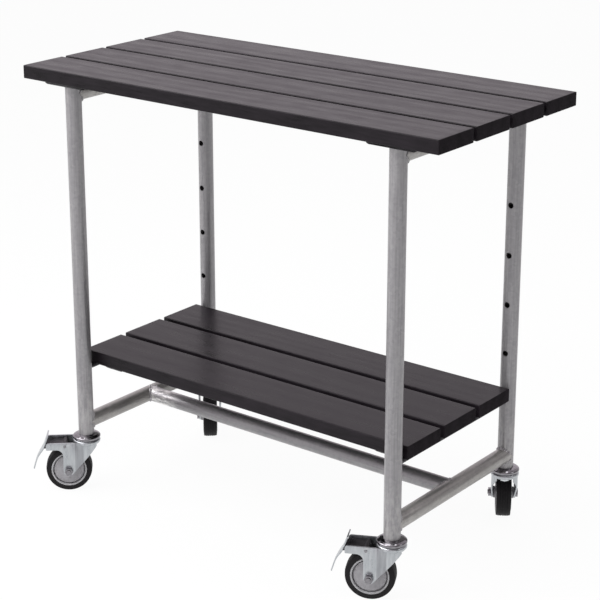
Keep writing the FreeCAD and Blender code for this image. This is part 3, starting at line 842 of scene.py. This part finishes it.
@dataclass
class Screws:
    """A group of alike screws whose heads show on the underside of the table."""

    node: str
    body: str
    seed: int
    hexagonal: bool = False
    rim_steps: int = 24
    recess_share: float = 0.72
    recess_arm_share: float = 0.13
    recess_taper: float = 0.6
    recess_deep_mm: float = 1.5
    hexagon_high_mm: float = 4.0
    chamfer_share: float = 0.18
    chamfer_face: float = 0.86

    def cross_head(self, radius: float) -> BMesh:
        """Model a countersunk head with a cross recess, its face at Z = 0 and Z outwards.

        Args:
            radius: the head's radius.

        Returns:
            The head.
        """
        work = bmesh.new()
        neck_radius = radius / 2.0
        rim = circle(work, radius, 0.0, self.rim_steps)
        neck = circle(work, neck_radius, -neck_radius, self.rim_steps)
        reach = radius * self.recess_share
        arm = radius * self.recess_arm_share
        quarter = [(reach, -arm), (reach, arm), (arm, arm)]
        mouth = []
        floor = []
        for k in range(4):
            turn = Matrix.Rotation(math.tau * k / 4.0, 2)
            for spot in quarter:
                x, y = turn @ Vector(spot)
                low = (x * self.recess_taper, y * self.recess_taper, -self.recess_deep_mm * MM)
                mouth.append(work.verts.new((x, y, 0.0)))
                floor.append(work.verts.new(low))
        skin(work, rim, neck)
        skin(work, mouth, floor)
        work.faces.new(neck)
        work.faces.new(floor)
        border = [edge for edge in work.edges if len(edge.link_faces) == 1]
        bmesh.ops.triangle_fill(work, edges=border, use_beauty=True)
        bmesh.ops.recalc_face_normals(work, faces=work.faces)
        return work

    def hex_head(self, corner: float) -> BMesh:
        """Model a hexagon head with a chamfered face, its face at Z = 0 and Z outwards.

        Args:
            corner: the radius at the corners.

        Returns:
            The head.
        """
        work = bmesh.new()
        height = self.hexagon_high_mm * MM
        levels = ((1.0, -height), (1.0, -self.chamfer_share * height), (self.chamfer_face, 0.0))
        rings = [circle(work, share * corner, z, 6) for share, z in levels]
        for lower, upper in zip(rings, rings[1:]):
            skin(work, lower, upper)
        work.faces.new(rings[0])
        work.faces.new(rings[-1])
        bmesh.ops.recalc_face_normals(work, faces=work.faces)
        return work

    def build(self, tree: RepeatTree) -> None:
        """Set a modelled head at each screw of the CAD group.

        Args:
            tree: the tree that repeats a shape at points.
        """
        boxes = solids_of(self.node)
        low, high = boxes[0]
        radius = (high.x - low.x) / 2.0
        head = self.hex_head(radius) if self.hexagonal else self.cross_head(radius)
        name = self.node + "_head"
        shape = bpy.data.objects.new(name, finished(head, name, SCREW_ZINC))
        spots = [Vector(((a.x + b.x) / 2.0, (a.y + b.y) / 2.0, a.z)) for a, b in boxes]
        guide = guide_points(self.node + "_heads", spots, -UP)
        mesh = tree.grow(guide, Shape=shape, Finish=SCREW_ZINC.material(), Seed=self.seed)
        bpy.data.objects.remove(shape)
        piece(self.node + "_driven", mesh, self.body, (self.node,))


@dataclass
class Plank:
    """One planed board with eased edges and the slight unevenness of a real board."""

    node: str
    body: str
    edge_mm: float = 2.0
    planed_mm: float = 2.5
    across_step_mm: float = 2.4
    along_step_mm: float = 12.0
    arc_steps: int = 4
    uneven_mm: float = 0.25
    wave_mm: float = 70.0
    stretch: float = 6.0

    def profile(self, half_width: float, half_thick: float) -> list[tuple[Vector, Vector]]:
        """Walk round the board's section.

        Args:
            half_width: half the board's width.
            half_thick: half its thickness.

        Returns:
            For each point, its place on the inner rectangle and the way outwards from there.
        """
        edge = self.edge_mm * MM
        wide = half_width - edge
        thick = half_thick - edge
        corners = [Vector((wide * a, thick * b)) for a, b in ((1, 1), (-1, 1), (-1, -1), (1, -1))]
        walk = []
        for i, corner in enumerate(corners):
            for k in range(self.arc_steps + 1):
                turn = math.pi / 2.0 * (i + k / self.arc_steps)
                walk.append((corner, Vector((math.cos(turn), math.sin(turn)))))
            run = corners[(i + 1) % len(corners)] - corner
            count = max(int(run.length / (self.across_step_mm * MM)), 1)
            out = walk[-1][1]
            walk.extend((corner + run * (k / count), out) for k in range(1, count))
        return walk

    def dip(self, spot: Vector) -> float:
        """How far in metres the planed face lies below the true one at a point, never negative."""
        wave = Vector((spot.x / self.stretch, spot.y, spot.z)) * per_metre(self.wave_mm)
        return self.uneven_mm * MM * min(max(0.5 + 0.5 * noise.noise(wave), 0.0), 1.0)

    def stations(self, half_length: float) -> list[tuple[float, float]]:
        """Places along the board, close together round the eased ends.

        Args:
            half_length: half the board's length.

        Returns:
            For each place, its distance along and how far the section draws in there.
        """
        edge = self.edge_mm * MM
        flat = half_length - edge
        ends = []
        for k in range(self.arc_steps, 0, -1):
            turn = math.pi / 2.0 * k / self.arc_steps
            ends.append((flat + edge * math.sin(turn), edge - edge * math.cos(turn)))
        count = int(2.0 * half_length / (self.along_step_mm * MM))
        middle = [(flat * (1.0 - 2.0 * k / count), 0.0) for k in range(count + 1)]
        return ends + middle + [(-x, inset) for x, inset in reversed(ends)]

    def build(self) -> None:
        """Model the board over its CAD solid."""
        low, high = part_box(self.node)
        centre = (low + high) / 2.0
        half = (high - low) / 2.0
        walk = self.profile(half.y - self.planed_mm * MM, half.z)
        edge = self.edge_mm * MM
        work = bmesh.new()
        rings = []
        for x, inset in self.stations(half.x):
            ring = []
            for inner, out in walk:
                spot = Vector((centre.x + x, centre.y + inner.x, centre.z + inner.y))
                reach = edge - inset - (self.dip(spot) if inset == 0.0 else 0.0)
                ring.append(work.verts.new(spot + Vector((0.0, out.x, out.y)) * reach))
            rings.append(ring)
        for ring, after in zip(rings, rings[1:]):
            skin(work, ring, after)
        work.faces.new(rings[0])
        work.faces.new(rings[-1])
        bmesh.ops.remove_doubles(work, verts=work.verts, dist=SAME_SPOT)
        bmesh.ops.recalc_face_normals(work, faces=work.faces)
        name = self.node + "_board"
        piece(name, finished(work, name, PINE), self.body, (self.node,))


@dataclass
class Deck:
    """Planks laid on two battens, screwed together from below."""

    name: str
    body: str
    planks: int
    screws: Sequence[Screws]

    def build(self, repeat: RepeatTree) -> None:
        """Model the planks and screw heads, and dress the battens.

        Args:
            repeat: the tree that repeats a shape at points.
        """
        for index in range(1, self.planks + 1):
            Plank(f"{self.name}_plank_{index}", self.body).build()
        for side in SIDES:
            dress(f"{side}_{self.name}_batten", PINE)
        for group in self.screws:
            group.build(repeat)


# The worktop's second group of screws holds it to the frame.
WORKTOP_SCREWS = (
    Screws("worktop_batten_screws", "frame", seed=5),
    Screws("worktop_frame_screws", "frame", seed=7, hexagonal=True),
)
WORKTOP = Deck("worktop", "frame", planks=4, screws=WORKTOP_SCREWS)
SHELF = Deck("shelf", "shelf", planks=3, screws=(Screws("shelf_screws", "shelf", seed=11),))


@dataclass(frozen=True)
class Bead:
    """How a weld was laid: its size, and how even its ripples are."""

    radius_mm: float
    ripple_mm: float
    smallest: float
    largest: float
    seed: int

    def lay(self, weld: WeldTree, name: str, seams: Sequence[Seam], finish: Finish) -> None:
        """Lay this bead along some seams of the frame.

        Args:
            weld: the tree that lays a bead along a seam.
            name: the piece's name.
            seams: the points of each seam.
            finish: the bead's finish.
        """
        mesh = weld.grow(
            guide_seams(name, seams),
            Finish=finish.material(),
            Bead_radius=self.radius_mm * MM,
            Ripple_spacing=self.ripple_mm * MM,
            Smallest=self.smallest,
            Largest=self.largest,
            Seed=self.seed,
        )
        piece(name, mesh, "frame")


SMOOTH_FILLET = Bead(radius_mm=4.5, ripple_mm=1.2, smallest=0.97, largest=1.03, seed=17)
LUMPY_BEAD = Bead(radius_mm=3.6, ripple_mm=3.4, smallest=0.6, largest=1.4, seed=19)


@dataclass
class TubeFrame:
    """The welded frame of galvanised tube, with the two rods that the shelf rests on."""

    seam_steps: int = 48
    thin_share: float = 0.25

    def __post_init__(self) -> None:
        """Take the tube's radius and the frame's height from a leg."""
        low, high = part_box("front_left_leg")
        self.radius = (high.x - low.x) / 2.0
        self.leg_top = high.z

    def leg_axis(self, end: str, side: str) -> Vector:
        """Where a leg's axis meets the floor plane."""
        low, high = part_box(f"{end}_{side}_leg")
        return Vector(((low.x + high.x) / 2.0, (low.y + high.y) / 2.0, 0.0))

    def level(self, node: str) -> float:
        """The height of a level tube's axis."""
        low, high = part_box(node)
        return (low.z + high.z) / 2.0

    def tee_seam(self, meet: Vector, run: Vector, post: Vector, highest: float) -> Seam:
        """The seam where a tube butts against another of the same size.

        Args:
            meet: where the two axes meet.
            run: the way that the butting tube leaves.
            post: the way that the other tube runs.
            highest: the seam stops where it would pass this height.

        Returns:
            The seam's points in order, each with its share of the full bead.
        """
        side = run.cross(post)
        quarter = self.seam_steps // 4
        points = []
        for k in range(self.seam_steps + 1):
            turn = math.tau * (k + quarter) / self.seam_steps
            up = math.sin(turn)
            ray = run * abs(up) + side * math.cos(turn) + post * up
            share = self.thin_share + (1.0 - self.thin_share) * abs(up)
            points.append((meet + ray * self.radius, share))
        return [(point, share) for point, share in points if point.z < highest]

    def leg_seams(self, level: float, highest: float) -> list[Seam]:
        """The seams where cross tubes at one level meet the legs.

        Args:
            level: the height of the cross tubes' axes.
            highest: the seams stop where they would pass this height.

        Returns:
            The points of each seam.
        """
        return [
            self.tee_seam(self.leg_axis(end, side) + UP * level, Vector((0.0, way, 0.0)), UP, highest)
            for side in SIDES
            for end, way in zip(ENDS, (1.0, -1.0))
        ]

    def stretcher_seams(self, level: float) -> list[Seam]:
        """The seams where the stretcher meets the lower cross tubes.

        Args:
            level: the height of the stretcher's axis.

        Returns:
            The points of each seam.
        """
        found = []
        for side, way in zip(SIDES, (1.0, -1.0)):
            middle = Vector((self.leg_axis("front", side).x, 0.0, level))
            inward = Vector((way, 0.0, 0.0))
            found.append(self.tee_seam(middle, inward, Vector((0.0, 1.0, 0.0)), self.leg_top))
        return found

    def build(self, weld: WeldTree) -> None:
        """Dress the tubes and rods, and lay the welds.

        Args:
            weld: the tree that lays a bead along a seam.
        """
        for side in SIDES:
            for end in ENDS:
                dress(f"{end}_{side}_leg", UPRIGHT_TUBE)
            dress(f"{side}_lower_cross_tube", CROSS_TUBE)
            dress(f"{side}_top_cross_tube", CROSS_TUBE)
            dress(f"{side}_shelf_rod", WEATHERED_ROD)
        dress("lower_stretcher", LONG_TUBE)
        dress("castor_inserts", INSERT_PLASTIC)
        low_level = self.level("lower_stretcher")
        top_level = self.level("left_top_cross_tube")
        clear = self.leg_top - SMOOTH_FILLET.radius_mm * MM
        low_seams = self.leg_seams(low_level, self.leg_top) + self.stretcher_seams(low_level)
        SMOOTH_FILLET.lay(weld, "top_welds", self.leg_seams(top_level, clear), FILLET)
        LUMPY_BEAD.lay(weld, "lower_welds", low_seams, WELD)


@dataclass
class Castor:
    """One swivel castor: head, fork, axle and wheel, and a foot brake on the front pair."""

    end: str
    side: str
    wheel_mm: float = 50.0
    half_width_mm: float = 16.0
    shoulder_mm: float = 2.0
    tread_grooves: int = 4
    groove_pitch_mm: float = 5.0
    groove_wide_mm: float = 1.2
    groove_deep_mm: float = 0.7
    core_mm: float = 38.0
    rim_mm: float = 35.0
    disc_mm: float = 32.5
    hub_mm: float = 12.5
    bore_mm: float = 5.05
    half_hub_mm: float = 21.7
    half_disc_mm: float = 13.0
    half_web_mm: float = 7.0
    hub_round_mm: float = 1.2
    hub_foot_mm: float = 1.5
    face_round_mm: float = 1.0
    groove_round_mm: float = 0.6
    rim_slack_mm: float = 0.1
    tyre_steps: int = 96
    core_steps: int = 72
    sheet_edge_mm: float = 0.5
    bolt_edge_mm: float = 0.6
    flare_tilt: float = 7.5
    flare_slack: float = 1.0
    shade_from_mm: float = 40.0
    shade_to_mm: float = 87.0

    def __post_init__(self) -> None:
        """Take the wheel's place from its joint."""
        self.name = f"{self.end}_{self.side}"
        spin = JOINTS[f"{self.name}_wheel_spin"]
        across = Vector(spin["axis"]).normalized()
        turn = across.to_track_quat("Z", "Y").to_matrix().to_4x4()
        self.axle_place = Matrix.Translation(Vector(spin["pos_m"])) @ turn
        self.trail = Vector((across.y, -across.x, 0.0))
        self.swivel = Vector(JOINTS[f"{self.name}_swivel"]["pos_m"])

    def tyre(self) -> None:
        """Model the tyre with its square shoulders and fine grooves round the tread."""
        half = self.half_width_mm
        floor = self.wheel_mm - self.groove_deep_mm
        wide = self.groove_wide_mm / 2.0
        tread = []
        for k in range(self.tread_grooves):
            middle = (k - (self.tread_grooves - 1) / 2.0) * self.groove_pitch_mm
            tread.append((self.wheel_mm, middle - wide))
            tread.append((floor, middle - wide / 2.0))
            tread.append((floor, middle + wide / 2.0))
            tread.append((self.wheel_mm, middle + wide))
        corners = [
            (self.core_mm, half, self.face_round_mm),
            (self.core_mm, -half, self.face_round_mm),
            (self.wheel_mm, -half, self.shoulder_mm),
            *tread,
            (self.wheel_mm, half, self.shoulder_mm),
        ]
        work = spun(eased(corners, steps=5), self.axle_place, self.tyre_steps)
        name = f"{self.name}_moulded_tyre"
        mesh = finished(work, name, RUBBER)
        piece(name, mesh, f"{self.name}_wheel", (f"{self.name}_tyre",))

    def core(self) -> None:
        """Model the wheel's core: a rim drawn paler as a painted highlight, a groove, a plain disc and a
        hub.
        """
        half_section = [
            (self.bore_mm, -self.half_hub_mm),
            (self.hub_mm, -self.half_hub_mm, self.hub_round_mm),
            (self.hub_mm, -self.half_disc_mm, self.hub_foot_mm),
            (self.disc_mm, -self.half_disc_mm, self.face_round_mm),
            (self.disc_mm, -self.half_web_mm, self.groove_round_mm),
            (self.rim_mm, -self.half_web_mm, self.groove_round_mm),
            (self.rim_mm, -self.half_width_mm, self.face_round_mm),
            (self.core_mm, -self.half_width_mm, self.groove_round_mm),
        ]
        other = [(r, -h, *radius) for r, h, *radius in reversed(half_section)]
        work = spun(eased(half_section + other, steps=4), self.axle_place, self.core_steps)
        # The middle of a flat face lies a little inside the round that it stands for.
        rim_from = (self.rim_mm - self.rim_slack_mm) * MM
        unturn = self.axle_place.inverted()
        # Faces out on the rim take the paler plastic: a painted highlight.
        for face in work.faces:
            spot = unturn @ face.calc_center_median()
            face.material_index = int(math.hypot(spot.x, spot.y) > rim_from)
        name = f"{self.name}_moulded_core"
        mesh = finished(work, name, CORE_PLASTIC, RIM_HIGHLIGHT_PLASTIC)
        piece(name, mesh, f"{self.name}_wheel", (f"{self.name}_wheel_core",))

    def fork(self) -> None:
        """Show the fork with softened edges, and painted shade on the facets where its cheeks flare."""
        node = f"{self.name}_fork"
        mesh = softened(node, self.sheet_edge_mm, ZINC_SHEET)
        mesh.materials.append(FLARE_SHADE_SHEET.material())
        across = self.trail.cross(UP)
        # The flared facets take the darker sheet: painted shade.
        for face in mesh.polygons:
            tilt = math.degrees(math.acos(min(abs(face.normal.dot(across)), 1.0)))
            flared = abs(tilt - self.flare_tilt) < self.flare_slack
            face.material_index = int(flared and face.normal.dot(self.trail) > 0.0)
        piece(f"{node}_finished", mesh, f"{self.name}_castor", (node,))

    def pedal(self) -> None:
        """Show the brake pedal: a zinc plate, with painted shade on its web inside the fork."""
        node = f"{self.name}_brake_pedal"
        mesh = softened(node, self.sheet_edge_mm, ZINC_SHEET)
        mesh.materials.append(PEDAL_WEB_SHADE.material())
        # Faces on the web inside the fork take the dark colour: painted shade.
        for face in mesh.polygons:
            reach = (face.center - self.swivel).dot(self.trail)
            inside = self.shade_from_mm * MM < reach < self.shade_to_mm * MM
            face.material_index = int(inside and face.center.z < self.swivel.z)
        piece(f"{node}_finished", mesh, f"{self.name}_pedal", (node,))

    def build(self) -> None:
        """Model or dress every part of the castor."""
        # The head, bolts and pins take the polished zinc with its painted dark reflection.
        dress(f"{self.name}_swivel_head", DARK_REFLECTION_ZINC)
        self.fork()
        for node in (f"{self.name}_axle_bolt", f"{self.name}_axle_nut"):
            mesh = softened(node, self.bolt_edge_mm, DARK_REFLECTION_ZINC)
            piece(f"{node}_finished", mesh, f"{self.name}_castor", (node,))
        self.tyre()
        self.core()
        if self.end == "front":
            self.pedal()
            dress(f"{self.name}_pedal_pin", DARK_REFLECTION_ZINC)


@dataclass(frozen=True)
class Lamp:
    """A square soft lamp, placed by its distance towards the camera, to its right and up."""

    name: str
    back: float
    right: float
    up: float
    size: float
    watts: float


LAMPS = (
    Lamp("key", back=1.5, right=-2.0, up=2.4, size=1.6, watts=46.0),
    Lamp("side", back=0.0, right=-2.2, up=2.16, size=1.6, watts=38.0),
    Lamp("fill", back=1.0, right=2.6, up=2.16, size=0.9, watts=10.0),
    Lamp("overhead", back=0.3, right=0.0, up=3.2, size=2.2, watts=35.0),
)


@dataclass
class Studio:
    """A plain pale floor, soft light and the camera."""

    focal_px: float = 1774.3
    image_px: float = 600.0
    sensor_mm: float = 36.0
    centre_px: float = 240.0
    azimuth: float = 37.76
    elevation: float = 17.48
    aim_height: float = 0.5715
    distance: float = 3.6627
    aside: float = 0.0186
    above: float = 0.0248
    lamp_aim: float = 0.5
    floor_size: float = 30.0
    floor_paper: str = "#f4f4f4"
    floor_glow: float = 0.95
    lit_right: float = -0.87
    lit_back: float = -0.6
    room_light: float = 0.75
    room_dusk: float = 0.3
    room_fade: float = 0.7
    dim_side: float = 0.15
    dim_from: float = -0.9
    dim_to: float = 0.1
    mirror_cast: str = "#fff6fc"

    def __post_init__(self) -> None:
        """Work out the camera's own directions."""
        around = math.radians(self.azimuth)
        lift = math.radians(self.elevation)
        self.right = Vector((math.cos(around), math.sin(around), 0.0))
        self.back = Vector(
            (math.sin(around) * math.cos(lift), -math.cos(around) * math.cos(lift), math.sin(lift))
        )
        self.up = self.back.cross(self.right)

    def camera(self) -> None:
        """Set the camera where the photograph was taken from."""
        lens = bpy.data.cameras.new("camera")
        lens.sensor_width = self.sensor_mm
        lens.lens = self.focal_px / self.image_px * self.sensor_mm
        lens.shift_y = (self.centre_px - self.image_px / 2.0) / self.image_px
        eye = placed("camera", lens)
        aim = UP * self.aim_height
        eye.location = aim + self.back * self.distance + self.right * self.aside + self.up * self.above
        eye.rotation_euler = (math.radians(90.0 - self.elevation), 0.0, math.radians(self.azimuth))
        bpy.context.scene.camera = eye

    def hang(self, lamp: Lamp) -> None:
        """Hang a lamp so that it faces the table.

        Args:
            lamp: the lamp.
        """
        light = bpy.data.lights.new(lamp.name, "AREA")
        light.size = lamp.size
        light.energy = lamp.watts
        holder = placed(lamp.name, light)
        holder.location = self.back * lamp.back + self.right * lamp.right + UP * lamp.up
        way = UP * self.lamp_aim - holder.location
        holder.rotation_euler = way.to_track_quat("-Z", "Y").to_euler()

    def white_rays(self, tree: Tree) -> tuple[Socket, Socket]:
        """Tell which rays are to meet plain white.

        Args:
            tree: the node tree to add to.

        Returns:
            One for a ray that is seen as it is, and one for that or a mirrored ray.
        """
        rays = add(tree, "ShaderNodeLightPath")
        direct = {0: rays["Is Camera Ray"], 1: rays["Is Transmission Ray"]}
        seen = add(tree, "ShaderNodeMath", direct, operation="MAXIMUM")[0]
        either = {0: seen, 1: rays["Is Glossy Ray"]}
        return seen, add(tree, "ShaderNodeMath", either, operation="MAXIMUM")[0]

    def backdrop(self) -> None:
        """Light the room evenly, with a white backdrop that is dimmer on one side in reflections."""
        world = bpy.data.worlds.new("studio")
        world.use_nodes = True
        bpy.context.scene.world = world
        tree = world.node_tree
        tree.nodes.clear()
        seen, shown = self.white_rays(tree)
        lit_way = (self.right * self.lit_right + self.back * self.lit_back).normalized()
        ways = {0: add(tree, "ShaderNodeTexCoord")["Generated"], 1: tuple(lit_way)}
        facing = add(tree, "ShaderNodeVectorMath", ways, operation="DOT_PRODUCT")["Value"]
        dimmed = {
            "Value": facing,
            "From Min": self.dim_from,
            "From Max": self.dim_to,
            "To Min": self.dim_side,
            "To Max": 1.0,
        }
        mirrored = add(tree, "ShaderNodeMapRange", dimmed)["Result"]
        dusky = {
            "Value": facing,
            "From Min": -self.room_fade,
            "From Max": self.room_fade,
            "To Min": self.room_dusk,
            "To Max": self.room_light,
        }
        soft = add(tree, "ShaderNodeMapRange", dusky)["Result"]
        level = add(tree, "ShaderNodeMix", {0: seen, 2: mirrored, 3: 1.0})[0]
        casts = {0: seen, 6: linear(self.mirror_cast), 7: WHITE}
        cast = add(tree, "ShaderNodeMix", casts, data_type="RGBA")[2]
        white = add(tree, "ShaderNodeBackground", {"Color": cast, "Strength": level})[0]
        room = add(tree, "ShaderNodeBackground", {"Color": WHITE, "Strength": soft})[0]
        mixed = add(tree, "ShaderNodeMixShader", {0: shown, 1: room, 2: white})[0]
        add(tree, "ShaderNodeOutputWorld", {"Surface": mixed})

    def floor(self) -> None:
        """Lay a white floor that keeps a faint shadow."""
        half = self.floor_size / 2.0
        mesh = bpy.data.meshes.new("floor")
        spots = [(-half, -half, 0.0), (half, -half, 0.0), (half, half, 0.0), (-half, half, 0.0)]
        mesh.from_pydata(spots, [], [(0, 1, 2, 3)])
        finish = bpy.data.materials.new("white_studio_paper")
        finish.use_nodes = True
        tree = finish.node_tree
        tree.nodes.clear()
        shown = self.white_rays(tree)[1]
        share = add(tree, "ShaderNodeMath", {0: shown, 1: self.floor_glow}, operation="MULTIPLY")[0]
        paper = add(tree, "ShaderNodeBsdfDiffuse", {"Color": linear(self.floor_paper)})[0]
        glow = add(tree, "ShaderNodeEmission", {"Color": WHITE, "Strength": 1.0})[0]
        mixed = add(tree, "ShaderNodeMixShader", {0: share, 1: paper, 2: glow})[0]
        add(tree, "ShaderNodeOutputMaterial", {"Surface": mixed})
        mesh.materials.append(finish)
        sheet = placed("floor", mesh)

    def build(self) -> None:
        """Set up the whole studio."""
        bpy.context.scene.view_settings.view_transform = "Standard"
        self.camera()
        self.backdrop()
        self.floor()
        for lamp in LAMPS:
            self.hang(lamp)


def main() -> None:
    """Build the table's looks and the studio, and report each piece."""
    logging.basicConfig(level=logging.INFO, format="%(name)s: %(message)s")
    repeat = RepeatTree()
    weld = WeldTree()
    WORKTOP.build(repeat)
    SHELF.build(repeat)
    TubeFrame().build(weld)
    for end in ENDS:
        for side in SIDES:
            Castor(end, side).build()
    dress("castor_stem_bolts", BRIGHT_ZINC)
    Studio().build()


if __name__ == "__main__":
    main()
